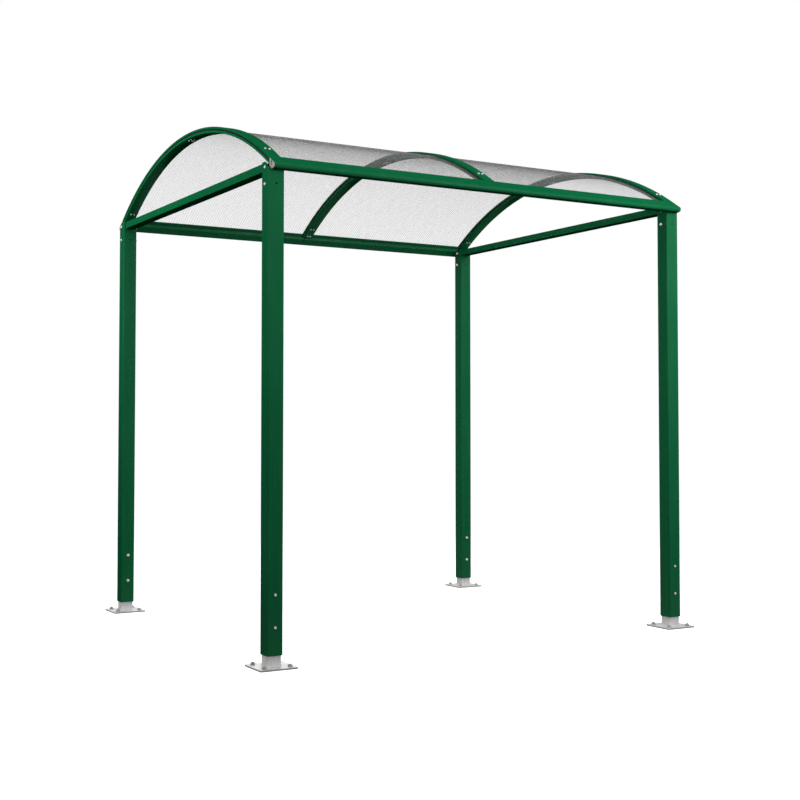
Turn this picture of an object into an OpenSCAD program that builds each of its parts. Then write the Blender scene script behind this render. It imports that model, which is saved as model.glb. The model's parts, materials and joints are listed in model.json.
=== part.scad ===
// Open waiting shelter with a barrel roof.
// Four square posts stand in sockets on base plates. They carry two eaves beams
// and two tie rails, and three curved ribs hold two translucent roof sheets,
// which three curved caps clamp from above.
// X runs along the long front, Y from front to back and Z up.
// The origin is on the ground at the centre of the plan.

/* [Shelter] */
// Length over the outer faces of the posts
length = 2500; // [1800:10:3600]
// Depth over the outer faces of the posts
depth = 2180; // [1500:10:2600]
// Height of the underside of the tie rails
tie_z = 2300; // [1900:1:2700]

/* [Posts] */
// Width of the square post
post_w = 80; // [60:1:120]
// Wall of the post
post_wall = 5; // [3:0.5:8]
// Radius of the post's outer corners
post_corner_r = 6; // [5:0.5:10]
// Height of the post's lower end
post_base_z = 58; // [20:1:150]
// Diameter of the bolt holes through the posts and sockets
bolt_hole_d = 11; // [7:0.5:15]
// Height of the lower socket bolt
socket_bolt_z = 186; // [130:1:220]
// Distance between the two socket bolts
socket_bolt_pitch = 150; // [60:1:200]
// Depth of the upper side bolt below the top of the tie rail
side_bolt_drop = 26; // [15:1:40]
// Distance between the two side bolts
side_bolt_pitch = 79; // [50:1:120]
// Diameter of the open wire hole near the top of each post
wire_hole_d = 8; // [4:0.5:12]

/* [Feet] */
// Width of the square base plate
plate_w = 190; // [140:1:260]
// Thickness of the base plate
plate_t = 8; // [5:1:15]
// Radius of the base plate's corners
plate_corner_r = 10; // [2:1:20]
// Distance between the anchor holes
anchor_pitch = 130; // [110:1:200]
// Diameter of the anchor holes
anchor_hole_d = 14; // [10:0.5:18]
// Height of the socket's upper end
socket_top_z = 400; // [380:5:600]
// Wall of the socket
socket_wall = 4; // [3:0.5:6]
// Radius of the socket's outer corners
socket_corner_r = 5; // [4.5:0.5:8]
// Play between the socket and the post
socket_play = 0.3; // [0.1:0.1:1]

/* [Tie rails] */
// Width of the tie rail
tie_w = 60; // [40:1:80]
// Height of the tie rail
tie_h = 40; // [30:1:60]
// Wall of the tie rail
tie_wall = 3; // [2:0.5:5]
// Radius of the tie rail's outer corners
tie_corner_r = 4; // [3:0.5:6]

/* [Roof] */
// Radius of the outer surface of the caps
roof_r = 1975; // [1700:5:4000]
// Height of the roof's lower edge above the tie rail's underside
eaves_rise = 67; // [67:1:90]
// Distance of the roof's lower edge outside the post centres
eaves_out = 13; // [8:1:20]
// Width of the ribs and caps
rib_w = 60; // [40:1:70]
// Distance of the roof's ends inside the outer faces of the posts
roof_inset = 12; // [5:1:20]
// Thickness of the caps
cap_t = 11; // [6:0.5:15]
// Thickness of the roof sheets
sheet_t = 8; // [6:0.5:16]
// Thickness of the ribs
rib_t = 12; // [8:0.5:16]
// Gap between the two sheets under the middle cap
sheet_gap = 8; // [4:1:20]
// Distance of the sheets' outer edges inside the end caps
sheet_recess = 8; // [2:1:20]

/* [Eaves beams] */
// Reach of the beam outside the roof's lower edge
beam_reach = 69; // [60:1:90]
// Drop of the beam below the roof's lower edge
beam_drop = 70; // [66:1:90]
// Height of the beam's upright back below the roof's lower edge
back_drop = 40; // [36:1:46]
// Distance of the keel's centre outside the roof's lower edge
keel_out = 32.5; // [28:0.5:40]
// Radius of the nose
nose_r = 14; // [6:0.5:16]
// Radius of the keel
keel_r = 7; // [5:0.5:9]
// Wall of the beam
beam_wall = 3; // [2:0.5:4]
// Radius of the inner corners beside the groove
hollow_r = 1.5; // [1:0.5:3]
// Depth of the groove that holds the sheet's edge
groove_depth = 10; // [8:0.5:12]
// Play behind the sheet's edge in the groove
groove_play = 2; // [1:0.5:4]
// Length of the flange under the sheet
flange_len = 20; // [12:1:30]
// Thickness of the flange under the sheet
flange_t = 3; // [2:0.5:5]

/* [Middle rib brackets] */
// Width of the bracket
bracket_w = 40; // [25:1:50]
// Thickness of the bracket
bracket_t = 3; // [2:0.5:5]
// Length of the leg under the rib
bracket_leg = 40; // [25:1:60]
// Length of the leg on the beam's sloping underside
bracket_tail = 22; // [14:1:26]

/* [Hidden] */
// Segments of small and of roof-sized circles
small_fn = 48;
roof_fn = 900;
// Steps in each rounded edge of the eaves beam
arc_steps = 10;
// Extra length of a cutting shape past the face it cuts
over = 1;

post_x = length / 2 - post_w / 2;
post_y = depth / 2 - post_w / 2;
post_top_z = tie_z + tie_h;
socket_w = post_w - 2 * post_wall - 2 * socket_play;
wire_hole_z = post_top_z - side_bolt_drop - side_bolt_pitch;

// Radii of the layers of the roof, from outside to inside
sheet_top_r = roof_r - cap_t;
sheet_r = sheet_top_r - sheet_t;
rib_r = sheet_r - rib_t;

// Roof's lower edge, slope there and centre of the roof's curve
eaves_y = post_y + eaves_out;
eaves_z = tie_z + eaves_rise;
slope = asin(eaves_y / roof_r);
roof_centre_z = eaves_z - roof_r * cos(slope);
roof_end_x = length / 2 - roof_inset;

// The beam's back, and the sheet's edge in its groove
back_y = eaves_y - cap_t * sin(slope);
groove_y = back_y + groove_depth;
sheet_edge_y = groove_y - groove_play;

// Centres of the beam's rounded edges and its lower back corner, from the roof's lower edge
nose_c = [beam_reach - nose_r, -(beam_reach - nose_r) * tan(slope) - nose_r / cos(slope)];
keel_c = [keel_out, keel_r - beam_drop];
back_c = [back_y - eaves_y, -back_drop];

// Headings square to the beam's underside, front and top, pointing away from it
under_a = touch_heading(back_c, 0, keel_c, keel_r);
front_a = touch_heading(keel_c, keel_r, nose_c, nose_r);
top_a = 90 - slope;

// Heading of a direction
function heading(v) = atan2(v[1], v[0]);

// Heading square to the line that touches two circles on the right,
// going from circle a to circle b
function touch_heading(a, ra, b, rb) = heading(b - a) - acos((ra - rb) / norm(b - a));

// Points along an arc between two headings
function arc(centre, r, a0, a1) =
    [for (i = [0:arc_steps]) let (a = a0 + (a1 - a0) * i / arc_steps) centre + r * [cos(a), sin(a)]];

// Puts a shape drawn in Y and Z on edge and gives it a length along X
module along_x(x0, x1) {
    translate([x0, 0, 0])
        rotate([90, 0, 90])
            linear_extrude(x1 - x0)
                children();
}

// A square with true round corners, centred
module round_rect(w, h, r) {
    square([w - 2 * r, h], center = true);
    square([w, h - 2 * r], center = true);
    for (sx = [-1, 1], sy = [-1, 1])
        translate([sx * (w / 2 - r), sy * (h / 2 - r)])
            circle(r = r, $fn = small_fn);
}

// A tube's section with round corners outside and inside
module tube_section(w, h, r, wall) {
    difference() {
        round_rect(w, h, r);
        round_rect(w - 2 * wall, h - 2 * wall, max(r - wall, 1));
    }
}

// A ring about the centre of the roof's curve, between two radii
module roof_ring(inner, outer) {
    translate([0, roof_centre_z])
        difference() {
            circle(r = outer, $fn = roof_fn);
            circle(r = inner, $fn = roof_fn);
        }
}

// A tall strip between two distances behind the middle of the plan
module strip(y0, y1) {
    translate([y0, tie_z - roof_r / 2])
        square([y1 - y0, roof_r + roof_r / 2]);
}

// Outside of the rear eaves beam's section, before its groove and flange
module beam_outline() {
    roof_edge = (cap_t + sheet_t / 2) * [-sin(slope), -cos(slope)];
    translate([eaves_y, eaves_z])
        polygon(concat(
            [[0, 0], roof_edge, [back_c[0], roof_edge[1]], back_c],
            arc(keel_c, keel_r, under_a, front_a),
            arc(nose_c, nose_r, front_a, top_a)
        ));
}

// The hollow of the rear eaves beam, outside the groove
module beam_hollow() {
    skin = beam_wall + hollow_r;
    y = groove_y + skin - eaves_y;
    top = [y, -y * tan(slope) - skin / cos(slope)];
    foot = [y, back_c[1] - (skin + cos(under_a) * (y - back_c[0])) / sin(under_a)];
    translate([eaves_y, eaves_z])
        polygon(concat(
            arc(foot, hollow_r, -180, under_a),
            arc(keel_c, keel_r - beam_wall, under_a, front_a),
            arc(nose_c, nose_r - beam_wall, front_a, top_a),
            arc(top, hollow_r, top_a, 180)
        ));
}

// The flange that reaches inward under the sheet's edge
module beam_flange(reach) {
    intersection() {
        roof_ring(sheet_r - flange_t, sheet_r);
        strip(back_y - flange_len, back_y + reach);
    }
}

module beam_section() {
    difference() {
        union() {
            beam_outline();
            beam_flange(over);
        }
        beam_hollow();
        intersection() {
            roof_ring(sheet_r, sheet_top_r);
            strip(back_y - flange_len - over, groove_y);
        }
    }
}

module rib_section() {
    difference() {
        intersection() {
            roof_ring(rib_r, sheet_r);
            strip(-back_y, back_y);
        }
        beam_flange(over);
        mirror([1, 0])
            beam_flange(over);
    }
}

module cap_section() {
    reach = 2 * roof_r;
    intersection() {
        roof_ring(sheet_top_r, roof_r);
        translate([0, roof_centre_z])
            polygon([
                [0, 0],
                reach * [-sin(slope), cos(slope)],
                [0, reach],
                reach * [sin(slope), cos(slope)]
            ]);
    }
}

module sheet_section() {
    intersection() {
        roof_ring(sheet_r, sheet_top_r);
        strip(-sheet_edge_y, sheet_edge_y);
    }
}

// A leg that follows the rib's underside and a bent tail on the beam's underside
module bracket_section() {
    under_dir = [cos(under_a), sin(under_a)];
    corner = [eaves_y, eaves_z] + back_c;
    tail = corner + bracket_tail * [-sin(under_a), cos(under_a)];
    bend = corner + bracket_t * [-1, (1 + cos(under_a)) / sin(under_a)];
    rib_low_z = roof_centre_z + sqrt(pow(rib_r, 2) - pow(back_y, 2));
    intersection() {
        roof_ring(rib_r - bracket_t, rib_r);
        strip(back_y - bracket_leg, back_y);
    }
    polygon([
        [back_y, rib_low_z],
        [back_y - bracket_t, rib_low_z],
        bend,
        tail + bracket_t * under_dir,
        tail,
        corner
    ]);
}

// Turns a piece made for the right or the rear to the side that is asked for
module to_side(side, axis) {
    if (side < 0)
        mirror(axis)
            children();
    else
        children();
}

// A base plate with the socket welded on it; side is -1 left or 1 right, end is -1 front or 1 rear
module foot(side, end) {
    color([0.78, 0.79, 0.78])
    translate([side * post_x, end * post_y, 0])
        difference() {
            union() {
                linear_extrude(plate_t)
                    round_rect(plate_w, plate_w, plate_corner_r);
                linear_extrude(socket_top_z)
                    tube_section(socket_w, socket_w, socket_corner_r, socket_wall);
            }
            for (sx = [-1, 1], sy = [-1, 1])
                translate([sx * anchor_pitch / 2, sy * anchor_pitch / 2, -over])
                    cylinder(d = anchor_hole_d, h = plate_t + 2 * over, $fn = small_fn);
            socket_bolt_holes();
        }
}

// The two holes front to back that pin a post to its socket
module socket_bolt_holes() {
    for (i = [0, 1])
        translate([0, post_w / 2 + over, socket_bolt_z + i * socket_bolt_pitch])
            rotate([90, 0, 0])
                cylinder(d = bolt_hole_d, h = post_w + 2 * over, $fn = small_fn);
}

// A post, cut at its top to cradle the eaves beam and the end of the rib
module post(side, end) {
    color([0.12, 0.38, 0.25])
    to_side(side, [1, 0, 0])
    to_side(end, [0, 1, 0])
        difference() {
            translate([post_x, post_y, post_base_z])
                linear_extrude(post_top_z - post_base_z)
                    tube_section(post_w, post_w, post_corner_r, post_wall);
            along_x(post_x - post_w, post_x + post_w) {
                beam_outline();
                roof_ring(rib_r, roof_r);
            }
            translate([post_x, post_y, 0]) {
                socket_bolt_holes();
                for (i = [0, 1])
                    translate([-post_w / 2 - over, 0, wire_hole_z + i * side_bolt_pitch])
                        rotate([0, 90, 0])
                            cylinder(d = bolt_hole_d, h = post_w + 2 * over, $fn = small_fn);
                translate([0, post_w / 2 + over, wire_hole_z])
                    rotate([90, 0, 0])
                        cylinder(d = wire_hole_d, h = post_w + 2 * over, $fn = small_fn);
            }
        }
}

module tie_rail(side) {
    color([0.15, 0.42, 0.28])
    translate([side * post_x, depth / 2 - post_w, tie_z + tie_h / 2])
        rotate([90, 0, 0])
            linear_extrude(depth - 2 * post_w)
                tube_section(tie_w, tie_h, tie_corner_r, tie_wall);
}

module eaves_beam(end) {
    color([0.10, 0.35, 0.22])
    to_side(end, [0, 1, 0])
        along_x(-roof_end_x, roof_end_x)
            beam_section();
}

module arch(x0) {
    color([0.08, 0.30, 0.19])
    along_x(x0, x0 + rib_w)
        rib_section();
}

module arch_cap(x0) {
    color([0.16, 0.44, 0.29])
    along_x(x0, x0 + rib_w)
        cap_section();
}

module roof_panel(side) {
    color([0.87, 0.88, 0.88])
    to_side(side, [1, 0, 0])
        along_x(sheet_gap / 2, roof_end_x - sheet_recess)
            sheet_section();
}

module arch_bracket(end) {
    color([0.08, 0.28, 0.18])
    to_side(end, [0, 1, 0])
        along_x(-bracket_w / 2, bracket_w / 2)
            bracket_section();
}

foot(-1, -1);  // foot_front_left
foot(1, -1);  // foot_front_right
foot(-1, 1);  // foot_rear_left
foot(1, 1);  // foot_rear_right
post(-1, -1);  // post_front_left
post(1, -1);  // post_front_right
post(-1, 1);  // post_rear_left
post(1, 1);  // post_rear_right
tie_rail(-1);  // tie_rail_left
tie_rail(1);  // tie_rail_right
eaves_beam(-1);  // eaves_beam_front
eaves_beam(1);  // eaves_beam_rear
arch(-roof_end_x);  // arch_left
arch(-rib_w / 2);  // arch_middle
arch(roof_end_x - rib_w);  // arch_right
arch_cap(-roof_end_x);  // arch_cap_left
arch_cap(-rib_w / 2);  // arch_cap_middle
arch_cap(roof_end_x - rib_w);  // arch_cap_right
roof_panel(-1);  // roof_panel_left
roof_panel(1);  // roof_panel_right
arch_bracket(-1);  // arch_bracket_front
arch_bracket(1);  // arch_bracket_rear
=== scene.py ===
"""Looks of an open waiting shelter with a barrel roof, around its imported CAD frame.

Everything is in metres in the frame of the CAD model: X along the long front, Y from front
to back, Z up, with the origin on the ground at the centre of the plan.
"""

import json
import math

import bmesh
import bpy
from mathutils import Matrix, Vector
from mathutils.geometry import convex_hull_2d, intersect_line_line_2d


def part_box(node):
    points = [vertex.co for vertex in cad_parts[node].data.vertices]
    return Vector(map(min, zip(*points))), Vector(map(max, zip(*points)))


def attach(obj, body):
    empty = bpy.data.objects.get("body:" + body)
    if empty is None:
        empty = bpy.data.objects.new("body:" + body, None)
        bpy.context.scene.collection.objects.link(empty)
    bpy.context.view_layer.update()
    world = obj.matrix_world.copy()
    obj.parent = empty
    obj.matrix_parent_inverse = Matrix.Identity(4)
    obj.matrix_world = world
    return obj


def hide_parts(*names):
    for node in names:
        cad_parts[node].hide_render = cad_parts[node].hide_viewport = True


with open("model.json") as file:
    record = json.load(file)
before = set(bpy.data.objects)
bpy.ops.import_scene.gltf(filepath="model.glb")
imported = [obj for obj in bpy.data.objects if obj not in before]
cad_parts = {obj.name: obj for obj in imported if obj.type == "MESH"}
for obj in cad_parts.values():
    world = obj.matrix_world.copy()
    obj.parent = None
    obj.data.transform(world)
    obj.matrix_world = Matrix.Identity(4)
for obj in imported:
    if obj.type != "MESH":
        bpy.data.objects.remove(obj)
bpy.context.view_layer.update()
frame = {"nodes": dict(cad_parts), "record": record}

MM = 0.001
SIDES = (-1, 1)
SIDE_NAMES = {-1: "left", 1: "right"}

# ---------------------------------------------------------------------------------------
# Places and sizes, from the frame
# ---------------------------------------------------------------------------------------
post_lo, post_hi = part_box("post_rear_right")
cap_lo, cap_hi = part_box("arch_cap_right")
panel_lo, panel_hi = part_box("roof_panel_right")
_, beam_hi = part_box("eaves_beam_rear")
_, rib_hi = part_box("arch_right")
_, tie_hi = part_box("tie_rail_right")
bracket_lo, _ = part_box("arch_bracket_rear")

POST_W = post_hi.x - post_lo.x
POST_X = (post_lo.x + post_hi.x) / 2
POST_Y = (post_lo.y + post_hi.y) / 2
EAVES_Y = cap_hi.y
EAVES_Z = beam_hi.z
ROOF_END_X = cap_hi.x
RIB_W = cap_hi.x - cap_lo.x

# The roof's arc, from its half chord and its rise, and the radii of its layers
ROOF_RISE = cap_hi.z - EAVES_Z
ROOF_R = (EAVES_Y**2 + ROOF_RISE**2) / (2 * ROOF_RISE)
ROOF_Z = cap_hi.z - ROOF_R
SHEET_TOP_R = panel_hi.z - ROOF_Z
SHEET_R = rib_hi.z - ROOF_Z
RIB_T = 12 * MM
RIB_R = SHEET_R - RIB_T
BRACKET_T = 3 * MM

# Base plates, their sockets and the bolts through the posts, as the CAD source has them
PLATE_T = 8 * MM
SOCKET_W = 69.4 * MM
SOCKET_CORNER_R = 5 * MM
SOCKET_BOLT_Z = (186 * MM, 336 * MM)
SIDE_BOLT_Z = (tie_hi.z - 105 * MM, tie_hi.z - 26 * MM)

# The round corners of the eaves beam's hollow: how far outside and below the roof's lower
# edge each one's centre lies, and its radius
BEAM_HOLLOW = (
    (8.6 * MM, 10.9 * MM, 1.5 * MM),
    (55.0 * MM, 51.8 * MM, 11.0 * MM),
    (32.5 * MM, 63.0 * MM, 4.0 * MM),
    (8.6 * MM, 46.3 * MM, 1.5 * MM),
)


def anchor_holes():
    """The centre of each anchor hole, four to a bolt pattern."""
    for mount in frame["record"]["mounts"]:
        if mount["kind"] == "bolt_pattern":
            x, y, _ = mount["pos_m"]
            dx = mount["dims"]["spacing_x_mm"] * MM / 2
            dy = mount["dims"]["spacing_y_mm"] * MM / 2
            for sx in SIDES:
                for sy in SIDES:
                    yield x + sx * dx, y + sy * dy


# ---------------------------------------------------------------------------------------
# Node materials
# ---------------------------------------------------------------------------------------
class Shader:
    """A material's node tree, with short calls for the nodes that this script uses."""

    def __init__(self, name):
        self.material = bpy.data.materials.new(name)
        self.material.use_nodes = True
        self.tree = self.material.node_tree
        self.tree.nodes.clear()
        self.output = self.tree.nodes.new("ShaderNodeOutputMaterial")
        coords = self.tree.nodes.new("ShaderNodeTexCoord")
        self.place = coords.outputs["Object"]

    def node(self, kind, inputs=None, **settings):
        made = self.tree.nodes.new("ShaderNode" + kind)
        for key, value in settings.items():
            setattr(made, key, value)
        for key, value in (inputs or {}).items():
            self.feed(made.inputs[key], value)
        return made

    def feed(self, socket, value):
        if isinstance(value, bpy.types.NodeSocket):
            self.tree.links.new(value, socket)
        else:
            socket.default_value = value

    def math(self, operation, a, b=0.0, clamp=False):
        made = self.node("Math", operation=operation, use_clamp=clamp)
        self.feed(made.inputs[0], a)
        self.feed(made.inputs[1], b)
        return made.outputs[0]

    def vector_scale(self, scale):
        """The object's coordinates, stretched by a scale for each axis."""
        made = self.node("Mapping", {"Vector": self.place, "Scale": scale})
        return made.outputs["Vector"]

    def noise(self, scale, detail=4.0, roughness=0.5, stretch=(1, 1, 1), distortion=0.0):
        inputs = {
            "Vector": self.vector_scale(stretch),
            "Scale": scale,
            "Detail": detail,
            "Roughness": roughness,
            "Distortion": distortion,
        }
        return self.node("TexNoise", inputs).outputs["Fac"]

    def cells(self, scale, feature="F1", output="Distance", stretch=(1, 1, 1)):
        inputs = {"Vector": self.vector_scale(stretch), "Scale": scale}
        return self.node("TexVoronoi", inputs, feature=feature).outputs[output]

    def spread(self, value, low, high, to_low=0.0, to_high=1.0):
        """Maps the range low to high onto another, held at its ends."""
        inputs = {
            "Value": value,
            "From Min": low,
            "From Max": high,
            "To Min": to_low,
            "To Max": to_high,
        }
        return self.node("MapRange", inputs).outputs["Result"]

    def mix(self, fac, a, b, blend="MIX"):
        made = self.node("Mix", data_type="RGBA", blend_type=blend)
        self.feed(made.inputs[0], fac)
        self.feed(made.inputs[6], a)
        self.feed(made.inputs[7], b)
        return made.outputs[2]

    def bump(self, height, distance, strength=1.0, under=None):
        inputs = {"Height": height, "Distance": distance, "Strength": strength}
        if under is not None:
            inputs["Normal"] = under
        return self.node("Bump", inputs).outputs["Normal"]

    def principled(self, **inputs):
        named = {key.replace("_", " "): value for key, value in inputs.items()}
        return self.node("BsdfPrincipled", named).outputs["BSDF"]

    def slant(self):
        """How far the surface turns away from the eye: 0 squarely, 1 along it."""
        return self.node("LayerWeight", {"Blend": 0.5}).outputs["Facing"]

    def finish(self, surface):
        self.tree.links.new(surface, self.output.inputs["Surface"])
        return self.material


# How strongly one face of a clear skin dims what is seen squarely through it
SKIN_LOSS = 0.0155


def rgb(red, green, blue):
    return (red, green, blue, 1.0)


GREEN = rgb(0.0045, 0.106, 0.038)
GREEN_DEEP = rgb(0.0020, 0.084, 0.029)
GREEN_PALE = rgb(0.0120, 0.130, 0.052)
ALUMINIUM = rgb(0.34, 0.32, 0.29)
ALUMINIUM_DARK = rgb(0.18, 0.165, 0.15)
DUST = rgb(0.08, 0.10, 0.07)
# Dark zinc tone used as painted shade, on the base plates' sides and on the sockets' tops under
# the posts
ZINC_PAINTED_SHADE = rgb(0.16, 0.155, 0.15)


def sawn_aluminium(name):
    """Bare aluminium with the fine marks of a saw."""
    s = Shader(name)
    saw = s.noise(500.0, detail=3, stretch=(1, 0.12, 1))
    return s.finish(
        s.principled(
            Base_Color=s.mix(saw, ALUMINIUM_DARK, ALUMINIUM),
            Metallic=0.2,
            Roughness=s.spread(saw, 0.3, 0.7, 0.34, 0.52),
            Normal=s.bump(saw, 0.0002),
            IOR=1.2,
        )
    )


def green_paint(name):
    """Moss green powder coat: an orange-peel skin, slow shifts of tone and a little dust."""
    s = Shader(name)
    z = s.node("SeparateXYZ", {"Vector": s.place}).outputs[2]
    tone = s.mix(s.noise(2.2, detail=3), GREEN_DEEP, GREEN)
    streaks = s.noise(9.0, detail=5, stretch=(3, 3, 0.35))
    tone = s.mix(s.spread(streaks, 0.52, 0.78, 0.0, 0.35), tone, GREEN_PALE)
    specks = s.spread(s.cells(900.0), 0.05, 0.16, 1.0, 0.0)
    tone = s.mix(s.math("MULTIPLY", specks, 0.10), tone, GREEN_PALE)
    dust_height = s.spread(z, 0.06, 0.34, 0.10, 0.0)
    dust = s.math("MULTIPLY", dust_height, s.noise(38.0, detail=6))
    tone = s.mix(dust, tone, DUST)
    rough = s.spread(s.noise(26.0, detail=5), 0.3, 0.7, 0.30, 0.44)
    rough = s.math("ADD", rough, s.math("MULTIPLY", dust, 0.8), clamp=True)
    peel = s.bump(s.noise(420.0, detail=2), 0.00012)
    waves = s.bump(s.noise(14.0, detail=1), 0.0012, 0.35, under=peel)
    return s.finish(
        s.principled(
            Base_Color=tone,
            Roughness=rough,
            Normal=waves,
            IOR=1.2,
            Specular_IOR_Level=s.spread(s.slant(), 0.2, 0.6, 0.16, 0.0),
        )
    )


def galvanised(name):
    """Hot-dip zinc: spangle in large dull cells, runs and a few darker stains, with painted
    shade on the plates' sides and the sockets' tops.
    """
    s = Shader(name)
    spangle = s.cells(95.0, output="Color")
    grey = s.node("RGBToBW", {"Color": spangle}).outputs[0]
    tone = s.mix(grey, rgb(0.52, 0.52, 0.52), rgb(0.68, 0.68, 0.67))
    cloud = s.noise(14.0, detail=6, roughness=0.6)
    tone = s.mix(s.spread(cloud, 0.45, 0.8, 0.0, 0.4), tone, rgb(0.74, 0.74, 0.73))
    stain = s.spread(s.noise(45.0, detail=7, roughness=0.7), 0.60, 0.80, 0.0, 0.45)
    tone = s.mix(stain, tone, rgb(0.36, 0.35, 0.33))
    z = s.node("SeparateXYZ", {"Vector": s.place}).outputs[2]
    # Painted shade: everything below the plate's top face, so its sides, is darkened
    plate_sides_painted_shade = s.spread(z, PLATE_T - 1.5 * MM, PLATE_T - 0.5 * MM, 0.8, 0.0)
    tone = s.mix(plate_sides_painted_shade, tone, ZINC_PAINTED_SHADE)
    # Painted shade: the socket darkens from 20 mm upwards towards its top, under the post
    painted_shade_under_post = s.spread(z, 20 * MM, 58 * MM, 0.0, 0.5)
    tone = s.mix(painted_shade_under_post, tone, ZINC_PAINTED_SHADE)
    rough = s.spread(grey, 0.0, 1.0, 0.42, 0.58)
    grain = s.bump(s.noise(700.0, detail=3), 0.00006)
    lumps = s.bump(cloud, 0.0010, 0.4, under=grain)
    return s.finish(
        s.principled(Base_Color=tone, Metallic=0.2, Roughness=rough, IOR=1.3, Normal=lumps)
    )


def zinc_bolt(name, tone_low, tone_high, shine):
    """Plated or stainless fastener steel with fine turning marks and handling marks."""
    s = Shader(name)
    marks = s.noise(900.0, detail=4)
    tone = s.mix(marks, tone_low, tone_high)
    grime = s.spread(s.noise(160.0, detail=5), 0.55, 0.8, 0.0, 0.5)
    tone = s.mix(grime, tone, rgb(0.10, 0.09, 0.08))
    rough = s.spread(marks, 0.2, 0.8, shine, shine + 0.16)
    return s.finish(
        s.principled(
            Base_Color=tone,
            Metallic=0.15,
            Roughness=rough,
            IOR=1.3,
            Normal=s.bump(marks, 0.00004),
        )
    )


def black_rubber(name):
    """EPDM seal, dull black with a faint bloom."""
    s = Shader(name)
    bloom = s.noise(60.0, detail=6)
    tone = s.mix(bloom, rgb(0.004, 0.004, 0.004), rgb(0.012, 0.012, 0.012))
    rough = s.spread(bloom, 0.3, 0.7, 0.55, 0.75)
    skin = s.bump(s.noise(800.0, detail=2), 0.00008)
    return s.finish(
        s.principled(
            Base_Color=tone, Roughness=rough, Normal=skin, IOR=1.15, Specular_IOR_Level=0.1
        )
    )


def sheet_skin(name):
    """A clear skin of the twin-wall sheet. Each face dims more the more it slants."""
    uneven = 0.03
    least_squareness = 0.02
    s = Shader(name)
    drawn = s.noise(30.0, detail=5, stretch=(4, 0.4, 0.4))
    loss = s.spread(drawn, 0.3, 0.7, SKIN_LOSS * (1 - uneven), SKIN_LOSS * (1 + uneven))
    squareness = s.math("MAXIMUM", s.math("SUBTRACT", 1.0, s.slant()), least_squareness)
    loss = s.math("DIVIDE", loss, squareness)
    passed = s.math("EXPONENT", s.math("MULTIPLY", loss, -1.0))
    tint = s.mix(passed, rgb(0, 0, 0), rgb(1.0, 1.0, 1.0))
    clear = s.node("BsdfTransparent", {"Color": tint})
    body = s.principled(
        Base_Color=s.mix(drawn, rgb(0.68, 0.68, 0.68), rgb(0.75, 0.75, 0.75)),
        Roughness=s.spread(drawn, 0.3, 0.7, 0.20, 0.30),
        Normal=s.bump(drawn, 0.0002),
        IOR=1.15,
    )
    cover = s.spread(drawn, 0.3, 0.7, 0.015, 0.03)
    both = s.node("MixShader", {0: cover, 1: clear.outputs[0], 2: body})
    return s.finish(both.outputs[0])


def sheet_web(name):
    """The thin webs between the skins: a little milky, and lit through."""
    s = Shader(name)
    drawn = s.noise(50.0, detail=4)
    tone = s.mix(drawn, rgb(0.34, 0.34, 0.34), rgb(0.42, 0.42, 0.42))
    body = s.principled(
        Base_Color=tone,
        Roughness=s.spread(drawn, 0.3, 0.7, 0.30, 0.40),
        Normal=s.bump(drawn, 0.0001),
        IOR=1.15,
    )
    glow = s.node("BsdfTranslucent", {"Color": tone})
    lit = s.node("MixShader", {0: 0.5, 1: body, 2: glow.outputs[0]})
    clear = s.node("BsdfTransparent", {"Color": rgb(0.99, 0.99, 0.99)})
    cover = s.spread(drawn, 0.3, 0.7, 0.070, 0.085)
    both = s.node("MixShader", {0: cover, 1: clear.outputs[0], 2: lit.outputs[0]})
    return s.finish(both.outputs[0])


def pale_floor(name):
    """White to the camera, gloss and glass, and dark to the light that it would bounce."""
    s = Shader(name)
    path = s.node("LightPath")
    seen = s.math("MAXIMUM", path.outputs["Is Camera Ray"], path.outputs["Is Glossy Ray"])
    seen = s.math("MAXIMUM", seen, path.outputs["Is Transmission Ray"])
    tone = s.mix(s.noise(3.0, detail=2), rgb(0.90, 0.90, 0.90), rgb(0.92, 0.92, 0.92))
    pale = s.node("BsdfDiffuse", {"Color": tone})
    white = s.node("Emission", {"Color": rgb(1, 1, 1), "Strength": 0.75})
    shown = s.node("AddShader", {0: pale.outputs[0], 1: white.outputs[0]})
    dull = s.node("BsdfDiffuse", {"Color": rgb(0.07, 0.07, 0.07)})
    both = s.node("MixShader", {0: seen, 1: dull.outputs[0], 2: shown.outputs[0]})
    return s.finish(both.outputs[0])


# ---------------------------------------------------------------------------------------
# Mesh code
# ---------------------------------------------------------------------------------------
def add_rings(bm, rings, place=Matrix.Identity(4), closed=False):
    """Skins a stack of rings of points. The ends are capped, or joined when closed."""
    loops = [[bm.verts.new(place @ Vector(point)) for point in ring] for ring in rings]
    pairs = list(zip(loops, loops[1:]))
    if closed:
        pairs.append((loops[-1], loops[0]))
    for low, high in pairs:
        for i, corner in enumerate(low):
            j = (i + 1) % len(low)
            bm.faces.new((corner, low[j], high[j], high[i]))
    if not closed:
        bm.faces.new(list(reversed(loops[0])))
        bm.faces.new(loops[-1])


def circle(radius, z, steps):
    turn = 2 * math.pi / steps
    return [(radius * math.cos(i * turn), radius * math.sin(i * turn), z) for i in range(steps)]


# The round face of a nut ends this far out, as a share of its flats' reach
NUT_FACE = 1.02


def hexagon(flats, z, steps, limit=None, fall=0.0):
    """A hexagon's outline, pulled in to a limit radius or dropped by its corners' fall."""
    ring = []
    for i in range(steps):
        turn = 2 * math.pi * i / steps
        to_flat = (turn + math.pi / 6) % (math.pi / 3) - math.pi / 6
        reach = flats / 2 / math.cos(to_flat)
        kept = min(reach, limit) if limit else reach
        drop = fall * max(0.0, reach - flats / 2 * NUT_FACE)
        ring.append((kept * math.cos(turn), kept * math.sin(turn), z - drop))
    return ring


def add_washer(bm, place, outer, inner, thick, steps=32):
    edge = 0.2 * thick
    section = (
        (outer - edge, 0),
        (outer, edge),
        (outer, thick - edge),
        (outer - edge, thick),
        (inner, thick),
        (inner, 0),
    )
    add_rings(bm, [circle(r, z, steps) for r, z in section], place, closed=True)


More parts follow.
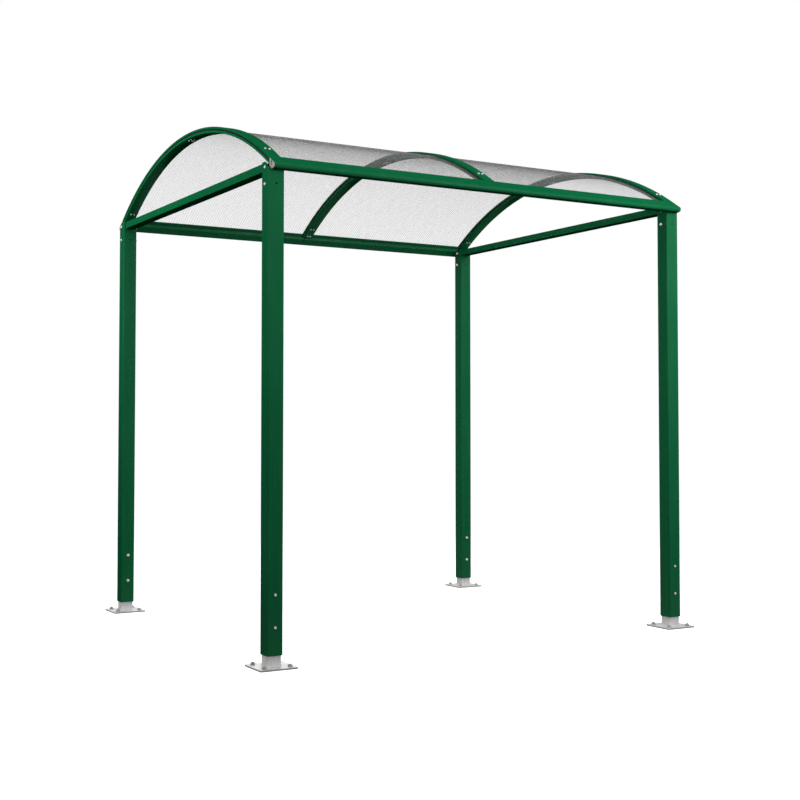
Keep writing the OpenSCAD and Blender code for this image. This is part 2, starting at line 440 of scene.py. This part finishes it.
def add_nut(bm, place, flats, thick, bore, steps=48):
    """A hexagon nut, its corners chamfered by a cone at both faces."""
    face_r = flats / 2 * NUT_FACE
    cone = math.tan(math.radians(30))
    low = [(x, y, -z) for x, y, z in hexagon(flats, 0, steps, fall=cone)]
    rings = [
        hexagon(flats, 0, steps, limit=face_r),
        low,
        hexagon(flats, thick, steps, fall=cone),
        hexagon(flats, thick, steps, limit=face_r),
        circle(bore * 1.12, thick, steps),
        circle(bore, thick - bore * 0.12, steps),
        circle(bore, 0, steps),
    ]
    add_rings(bm, rings, place, closed=True)


def add_stud(bm, place, radius, z0, z1, pitch, steps=20):
    """A threaded rod: the thread is a ridge that climbs one pitch a turn."""
    depth = 0.3 * pitch
    tip = 0.8 * pitch
    count = max(2, round((z1 - z0) / (pitch / 4)))
    rings = []
    for k in range(count + 1):
        z = z0 + (z1 - z0) * k / count
        taper = min(1.0, (z1 - z) / tip)
        ring = []
        for i in range(steps):
            turn = i / steps
            wave = abs(((z / pitch - turn) % 1.0) * 2 - 1)
            r = (radius - depth * wave) * (0.82 + 0.18 * taper)
            angle = 2 * math.pi * turn
            ring.append((r * math.cos(angle), r * math.sin(angle), z))
        rings.append(ring)
    add_rings(bm, rings, place)


def add_button_head(bm, place, radius, height, key, steps=36):
    """A domed screw head with a hexagon socket."""
    dome_steps = 6
    rim = 0.12 * height
    mouth = key * 0.62
    rings = [circle(radius * 0.97, 0, steps), circle(radius, rim, steps)]
    for k in range(1, dome_steps + 1):
        turn = k / dome_steps * math.pi / 2
        r = mouth + (radius - mouth) * math.cos(turn)
        rings.append(circle(r, rim + (height - rim) * math.sin(turn), steps))
    rings.append(hexagon(key, 0.94 * height, steps))
    rings.append(hexagon(key, 0.35 * height, steps))
    add_rings(bm, rings, place)


def add_dome_nut(bm, place, flats, height, steps=36):
    """A cap nut: a chamfered hexagon with a dome on it."""
    collar = 0.42 * height
    cone = math.tan(math.radians(30))
    face_r = flats / 2 * NUT_FACE
    dome_r = flats / 2 * 0.94
    dome_steps = 7
    low = [(x, y, -z) for x, y, z in hexagon(flats, 0, steps, fall=cone)]
    rings = [
        hexagon(flats, 0, steps, limit=face_r),
        low,
        hexagon(flats, collar, steps, fall=cone),
        hexagon(flats, collar, steps, limit=face_r),
        circle(dome_r, collar + 0.02 * height, steps),
    ]
    rise = height - collar
    for k in range(1, dome_steps):
        turn = k / dome_steps * math.pi / 2
        rings.append(circle(dome_r * math.cos(turn), collar + rise * math.sin(turn), steps))
    add_rings(bm, rings, place)


def add_rod(bm, place, radius, length, steps=24):
    edge = 0.15 * radius
    rings = [
        circle(radius - edge, 0, steps),
        circle(radius, edge, steps),
        circle(radius, length - edge, steps),
        circle(radius - edge, length, steps),
    ]
    add_rings(bm, rings, place)


def roof_point(x, radius, share, end_y):
    """A point of the roof, a share from -1 to 1 of the way to end_y at that radius."""
    turn = share * math.asin(end_y / radius)
    return (x, radius * math.sin(turn), ROOF_Z + radius * math.cos(turn))


def add_roof_strip(bm, section, end_y, steps=72):
    """Sweeps a section of (x, radius) corners along the roof's arc."""
    rings = []
    for k in range(steps + 1):
        share = 2 * k / steps - 1
        rings.append([roof_point(x, radius, share, end_y) for x, radius in section])
    add_rings(bm, rings)


def rectangle(x0, x1, r0, r1):
    return ((x0, r0), (x1, r0), (x1, r1), (x0, r1))


def facing(x, y, z, direction):
    """Puts a shape that stands on Z = 0 at a point, standing up in a direction."""
    turn = Vector(direction).to_track_quat("Z", "Y").to_matrix().to_4x4()
    return Matrix.Translation((x, y, z)) @ turn


def on_roof(x, y, radius, outward=1):
    """A place on the roof's arc, facing out of it or into it."""
    z = math.sqrt(radius**2 - y**2)
    return facing(x, y, ROOF_Z + z, (0, outward * y, outward * z))


def make_piece(name, bm, material, soften=0.0):
    """Turns a bmesh into a piece that rides on the frame."""
    bmesh.ops.recalc_face_normals(bm, faces=bm.faces)
    mesh = bpy.data.meshes.new(name)
    bm.to_mesh(mesh)
    bm.free()
    piece = bpy.data.objects.new(name, mesh)
    bpy.context.scene.collection.objects.link(piece)
    mesh.materials.append(material)
    mesh.set_sharp_from_angle(angle=math.radians(32))
    if soften:
        add_bevel(piece, soften)
    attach(piece, "root")
    return piece


def add_bevel(piece, width):
    bevel = piece.modifiers.new("Softened edges", "BEVEL")
    bevel.width = width
    bevel.segments = 2
    bevel.limit_method = "ANGLE"
    bevel.angle_limit = math.radians(35)
    bevel.harden_normals = True


# ---------------------------------------------------------------------------------------
# Materials in use
# ---------------------------------------------------------------------------------------
paint = green_paint("moss_green_powder_coat")
zinc = galvanised("hot_dip_zinc")
bolt_steel = zinc_bolt("zinc_plated_bolts", rgb(0.22, 0.215, 0.21), rgb(0.58, 0.57, 0.56), 0.28)
# Near-black steel for the washers under the post bolts' heads and nuts: painted shade, a dark
# ring round each
painted_shade_washer_steel = zinc_bolt("washers_near_black_as_painted_shade", rgb(0.02, 0.02, 0.02), rgb(0.06, 0.06, 0.06), 0.40)
bright_steel = zinc_bolt("stainless_bolts", rgb(0.55, 0.55, 0.54), rgb(0.80, 0.79, 0.77), 0.20)
rubber = black_rubber("black_rubber")
skin = sheet_skin("polycarbonate_skin")
web = sheet_web("polycarbonate_web")
bare = sawn_aluminium("sawn_aluminium")


def dress_cad_nodes():
    """Gives the carried-over nodes their finish and softened edges."""
    for name, node in frame["nodes"].items():
        node.data.materials.clear()
        node.data.materials.append(zinc if name.startswith("foot") else paint)
        weld = node.modifiers.new("Joined corners", "WELD")
        weld.merge_threshold = 0.00001
        add_bevel(node, 0.5 * MM)


# ---------------------------------------------------------------------------------------
# Roof sheets
# ---------------------------------------------------------------------------------------
def build_sheets():
    """Each sheet as two thin skins, in place of its CAD node, with webs between them."""
    skin_t = 0.5 * MM
    web_t = 0.7 * MM
    web_pitch = 16 * MM
    clear = 0.3 * MM
    top = SHEET_TOP_R - clear
    low = SHEET_R + clear
    for side in SIDES:
        x0 = side * panel_lo.x
        x1 = side * panel_hi.x
        bm = bmesh.new()
        add_roof_strip(bm, rectangle(x0, x1, top - skin_t, top), panel_hi.y)
        add_roof_strip(bm, rectangle(x0, x1, low, low + skin_t), panel_hi.y)
        skins = make_piece("roof_sheet_skins_" + SIDE_NAMES[side], bm, skin)
        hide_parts("roof_panel_" + SIDE_NAMES[side])
        bm = bmesh.new()
        count = round(abs(x1 - x0) / web_pitch)
        for i in range(count + 1):
            x = x0 + side * web_t / 2 + (x1 - x0 - side * web_t) * i / count
            section = rectangle(x - web_t / 2, x + web_t / 2, low + skin_t, top - skin_t)
            add_roof_strip(bm, section, panel_hi.y, steps=48)
        make_piece("roof_sheet_webs_" + SIDE_NAMES[side], bm, web)


def build_seals():
    """The rubber strips beside the sheets: in the gable, and as lips under caps and on ribs."""
    seal_y = EAVES_Y - 9 * MM
    low_lip_y = EAVES_Y - 30 * MM
    gable_inset = 3 * MM
    beside_sheet = 0.3 * MM
    between_skins = 0.2 * MM
    lip = 3 * MM
    lip_t = 1.4 * MM
    lip_root = 2 * MM
    lip_ridge = 0.2 * MM
    root_gap = 0.05 * MM
    lip_press = 0.15 * MM
    bm = bmesh.new()
    for side in SIDES:
        outer = side * (ROOF_END_X - gable_inset)
        inner = side * (panel_hi.x + beside_sheet)
        section = rectangle(inner, outer, SHEET_R + between_skins, SHEET_TOP_R - between_skins)
        add_roof_strip(bm, section, seal_y)
    edges = [(side * RIB_W / 2, side) for side in SIDES]
    edges += [(side * (ROOF_END_X - RIB_W), -side) for side in SIDES]
    for x, out in edges:
        near = x - out * lip_root
        far = x + out * lip
        ridge = x + out * lip_ridge
        top = (
            (near, SHEET_TOP_R + root_gap),
            (far, SHEET_TOP_R - lip_press),
            (ridge, SHEET_TOP_R + lip_t),
        )
        add_roof_strip(bm, top, seal_y)
        low = (
            (near, SHEET_R - root_gap),
            (far, SHEET_R + lip_press),
            (ridge, SHEET_R - lip_t),
        )
        add_roof_strip(bm, low, low_lip_y)
    make_piece("sheet_seals", bm, rubber)


# ---------------------------------------------------------------------------------------
# Fasteners
# ---------------------------------------------------------------------------------------
def build_anchor_bolts():
    """A stud, a washer and a nut in each hole of the base plates."""
    up = (0, 0, 1)
    stud_r = 6 * MM
    stud_low = 1 * MM
    stud_top = PLATE_T + 14 * MM
    thread_pitch = 1.75 * MM
    washer_r = 12 * MM
    washer_bore_r = 6.6 * MM
    washer_t = 2.5 * MM
    nut_flats = 19 * MM
    nut_t = 8 * MM
    bm = bmesh.new()
    for x, y in anchor_holes():
        add_washer(bm, facing(x, y, PLATE_T, up), washer_r, washer_bore_r, washer_t)
        add_nut(bm, facing(x, y, PLATE_T + washer_t, up), nut_flats, nut_t, stud_r)
        add_stud(bm, facing(x, y, 0, up), stud_r, stud_low, stud_top, thread_pitch)
    make_piece("anchor_bolts", bm, bolt_steel)


def add_through_bolt(bm, washers, head_at, direction, grip):
    """A button-head bolt through a post, with washers and a dome nut on the far face."""
    shank_r = 5 * MM
    bore_r = 5.2 * MM
    head_r, head_h, key = 7 * MM, 5 * MM, 5 * MM
    head_washer_r, head_washer_t = 9 * MM, 1 * MM
    nut_washer_r, nut_washer_t = 10.5 * MM, 1.5 * MM
    nut_flats, nut_h = 16 * MM, 14 * MM
    out = Vector(direction)
    near = Vector(head_at)
    far = near - out * grip
    on_near = facing(*(near + out * head_washer_t), out)
    on_far = facing(*(far - out * nut_washer_t), -out)
    add_washer(washers, facing(*near, out), head_washer_r, bore_r, head_washer_t)
    add_button_head(bm, on_near, head_r, head_h, key)
    add_rod(bm, facing(*far, out), shank_r, grip)
    add_washer(washers, facing(*far, -out), nut_washer_r, bore_r, nut_washer_t)
    add_dome_nut(bm, on_far, nut_flats, nut_h)


def build_post_bolts():
    """Two bolts front to back through each socket, and two sideways into each tie rail."""
    bm = bmesh.new()
    washers = bmesh.new()
    half = POST_W / 2
    for side in SIDES:
        for end in SIDES:
            x = side * POST_X
            y = end * POST_Y
            for z in SOCKET_BOLT_Z:
                add_through_bolt(bm, washers, (x, y + end * half, z), (0, end, 0), POST_W)
            for z in SIDE_BOLT_Z:
                add_through_bolt(bm, washers, (x + side * half, y, z), (side, 0, 0), POST_W)
    make_piece("post_bolts", bm, bright_steel)
    # The washers take the near-black steel as painted shade round each head and nut
    make_piece("post_bolt_washers", washers, painted_shade_washer_steel)


def rib_centres():
    end_x = ROOF_END_X - RIB_W / 2
    return (-end_x, 0.0, end_x)


def build_roof_screws():
    """Two screws side by side at each end of every cap, under each rib and in each bracket."""
    cap_y = EAVES_Y - 82 * MM
    rib_y = EAVES_Y - 86 * MM
    crown_y = RIB_W / 4
    bracket_y = bracket_lo.y + 14 * MM
    cap_apart = 11 * MM
    rib_apart = 9.5 * MM
    washer_r, washer_bore_r, washer_t = 6 * MM, 2.6 * MM, 1 * MM
    cap_head = (5 * MM, 3 * MM, 3.2 * MM)
    rib_head = (5 * MM, 2.8 * MM, 3.2 * MM)
    bm = bmesh.new()
    for x in rib_centres():
        for sx in SIDES:
            for end in SIDES:
                at = x + sx * cap_apart
                on_cap = on_roof(at, end * cap_y, ROOF_R)
                on_washer = on_roof(at, end * cap_y, ROOF_R + washer_t)
                add_washer(bm, on_cap, washer_r, washer_bore_r, washer_t)
                add_button_head(bm, on_washer, *cap_head)
                at = x + sx * rib_apart
                add_button_head(bm, on_roof(at, end * rib_y, RIB_R, -1), *rib_head)
                add_button_head(bm, on_roof(at, end * crown_y, RIB_R, -1), *rib_head)
                if x == 0:
                    under = on_roof(at, end * bracket_y, RIB_R - BRACKET_T, -1)
                    add_button_head(bm, under, *rib_head)
    make_piece("roof_screws", bm, bright_steel)


# ---------------------------------------------------------------------------------------
# Plugs in the ends of the eaves beams
# ---------------------------------------------------------------------------------------
def hollow_outline(play, steps=24):
    """The outline of the eaves beam's hollow, less a play, as points outside and below."""
    points = []
    for out, drop, radius in BEAM_HOLLOW:
        for x, y, _ in circle(radius - play, 0, steps):
            points.append(Vector((out + x, -drop + y)))
    return [points[i] for i in convex_hull_2d(points)]


def reach_to_outline(outline, centre, heading):
    """How far an outline lies from a point inside it, in one direction."""
    far = centre + heading
    for start, end in zip(outline, outline[1:] + outline[:1]):
        hit = intersect_line_line_2d(centre, far, start, end)
        if hit:
            return (hit - centre).length
    return 0.0


def slot_reach(heading, half_width, half_height):
    """How far the edge of an upright slot with round ends lies from its middle."""
    straight = half_height - half_width
    across, up = abs(heading.x), abs(heading.y)
    side = half_width / across if across > 1e-9 else math.inf
    if side * up <= straight:
        return side
    along = straight * up
    return along + math.sqrt(along**2 - straight**2 + half_width**2)


def build_beam_plugs():
    """A sawn aluminium plug with an upright slot, flush in each end of both beams."""
    plug_t = 6 * MM
    sunk = 0.2 * MM
    play = 0.25 * MM
    slot_half_w, slot_half_h = 5 * MM, 12.5 * MM
    steps = 96
    middle = Vector((29 * MM, -37 * MM))
    outline = hollow_outline(play)
    outer, slot = [], []
    for i in range(steps):
        turn = 2 * math.pi * (i + 0.5) / steps
        heading = Vector((math.cos(turn), math.sin(turn)))
        outer.append(middle + heading * reach_to_outline(outline, middle, heading))
        slot.append(middle + heading * slot_reach(heading, slot_half_w, slot_half_h))
    bm = bmesh.new()
    for side in SIDES:
        for end in SIDES:
            x_out = side * (ROOF_END_X - sunk)
            x_in = x_out - side * plug_t
            rings = []
            for x, ring in ((x_in, outer), (x_out, outer), (x_out, slot), (x_in, slot)):
                rings.append([(x, end * (EAVES_Y + p.x), EAVES_Z + p.y) for p in ring])
            add_rings(bm, rings, closed=True)
    make_piece("beam_end_plugs", bm, bare, soften=0.3 * MM)


# ---------------------------------------------------------------------------------------
# Welds
# ---------------------------------------------------------------------------------------
def square_path(width, corner_r, step):
    """Points and outward headings along a square with round corners."""
    path = []
    flat = width / 2 - corner_r
    for quarter in range(4):
        turn = quarter * math.pi / 2
        ahead = Vector((math.cos(turn), math.sin(turn)))
        left = Vector((-ahead.y, ahead.x))
        count = round(2 * flat / step)
        for i in range(count):
            along = -flat + 2 * flat * i / count
            path.append((ahead * (width / 2) + left * along, ahead))
        count = max(3, round(corner_r * math.pi / 2 / step))
        for i in range(count):
            bend = turn + math.pi / 2 * i / count
            out = Vector((math.cos(bend), math.sin(bend)))
            path.append((ahead * flat + left * flat + out * corner_r, out))
    return path


def build_welds():
    """A fillet bead with fine ripples round each socket, on its plate."""
    leg = 4.5 * MM
    ripple_step = 1.3 * MM
    sunk = 0.1 * MM
    # Reach and rise of the bead's corners, as shares of its leg, from inside the socket's wall
    section = ((-0.3, 0), (1, 0), (0.78, 0.30), (0.42, 0.66), (0, 1), (-0.3, 1))
    path = square_path(SOCKET_W, SOCKET_CORNER_R, ripple_step)
    bm = bmesh.new()
    for side in SIDES:
        for end in SIDES:
            rings = []
            for i, (point, out) in enumerate(path):
                size = leg * (1 + 0.07 * math.sin(i * 2.1) + 0.05 * math.sin(i * 0.37))
                ring = []
                for reach, rise in section:
                    spot = point + out * size * reach
                    x = side * POST_X + spot.x
                    y = end * POST_Y + spot.y
                    ring.append((x, y, PLATE_T - sunk + size * rise))
                rings.append(ring)
            add_rings(bm, rings, closed=True)
    make_piece("socket_welds", bm, zinc)


# ---------------------------------------------------------------------------------------
# Stage, light and camera
# ---------------------------------------------------------------------------------------
def build_floor():
    half_size = 60
    bm = bmesh.new()
    bmesh.ops.create_grid(bm, x_segments=8, y_segments=8, size=half_size)
    mesh = bpy.data.meshes.new("floor")
    bm.to_mesh(mesh)
    bm.free()
    floor = bpy.data.objects.new("floor", mesh)
    bpy.context.scene.collection.objects.link(floor)
    mesh.materials.append(pale_floor("pale_floor"))


def add_area_light(name, place, aim, size, power, spread=180):
    light = bpy.data.lights.new(name, "AREA")
    light.shape = "RECTANGLE"
    light.size, light.size_y = size
    light.energy = power
    light.spread = math.radians(spread)
    lamp = bpy.data.objects.new(name, light)
    lamp.location = place
    lamp.rotation_euler = (Vector(aim) - Vector(place)).to_track_quat("-Z", "Y").to_euler()
    lamp.visible_camera = False
    bpy.context.scene.collection.objects.link(lamp)


def build_world():
    """White where the camera, gloss or glass looks, and an even grey light elsewhere."""
    world = bpy.data.worlds.new("studio")
    bpy.context.scene.world = world
    world.use_nodes = True
    tree = world.node_tree
    tree.nodes.clear()
    path = tree.nodes.new("ShaderNodeLightPath")
    direct = tree.nodes.new("ShaderNodeMath")
    direct.operation = "MAXIMUM"
    tree.links.new(path.outputs["Is Camera Ray"], direct.inputs[0])
    tree.links.new(path.outputs["Is Glossy Ray"], direct.inputs[1])
    seen = tree.nodes.new("ShaderNodeMath")
    seen.operation = "MAXIMUM"
    tree.links.new(direct.outputs[0], seen.inputs[0])
    tree.links.new(path.outputs["Is Transmission Ray"], seen.inputs[1])
    shown = tree.nodes.new("ShaderNodeBackground")
    shown.inputs["Color"].default_value = rgb(1, 1, 1)
    shown.inputs["Strength"].default_value = 1.0
    lit = tree.nodes.new("ShaderNodeBackground")
    lit.inputs["Color"].default_value = rgb(1, 1, 1)
    lit.inputs["Strength"].default_value = 0.30
    both = tree.nodes.new("ShaderNodeMixShader")
    tree.links.new(seen.outputs[0], both.inputs[0])
    tree.links.new(lit.outputs[0], both.inputs[1])
    tree.links.new(shown.outputs[0], both.inputs[2])
    output = tree.nodes.new("ShaderNodeOutputWorld")
    tree.links.new(both.outputs[0], output.inputs["Surface"])


def build_lights():
    """High lamps at both front corners, at the left and behind, and a wide one overhead."""
    add_area_light("key_front_right", (2.6, -4.6, 3.2), (1.3, 0, 3.0), (1.6, 2.4), 105, 110)
    add_area_light("fill_front_left", (-2.2, -4.6, 3.2), (-1.2, 0, 3.2), (1.6, 2.0), 32, 110)
    add_area_light("fill_left", (-4.6, 0.8, 3.2), (0, 0.2, 3.2), (2.0, 2.4), 72, 110)
    add_area_light("fill_rear", (1.5, 5.5, 3.2), (0, 0, 2.4), (2.4, 2.4), 60, 140)
    add_area_light("top", (0, -0.4, 6.0), (0, 0, 2.4), (4.0, 4.0), 90)


def build_camera():
    """The camera stands to the left of the front and looks a little up."""
    data = bpy.data.cameras.new("camera")
    data.sensor_width = 36.0
    data.lens = 58.08
    data.shift_x = 0.00447
    data.shift_y = -0.0278
    data.clip_end = 200
    camera = bpy.data.objects.new("camera", data)
    camera.location = (-3.7134, -6.5159, 1.1108)
    camera.rotation_euler = (math.radians(92.132), 0, math.radians(-30.104))
    bpy.context.scene.collection.objects.link(camera)
    bpy.context.scene.camera = camera


dress_cad_nodes()
build_sheets()
build_seals()
build_anchor_bolts()
build_post_bolts()
build_roof_screws()
build_beam_plugs()
build_welds()
build_floor()
build_world()
build_lights()
build_camera()
bpy.context.scene.view_settings.view_transform = "Standard"
bpy.context.scene.cycles.transparent_max_bounces = 32
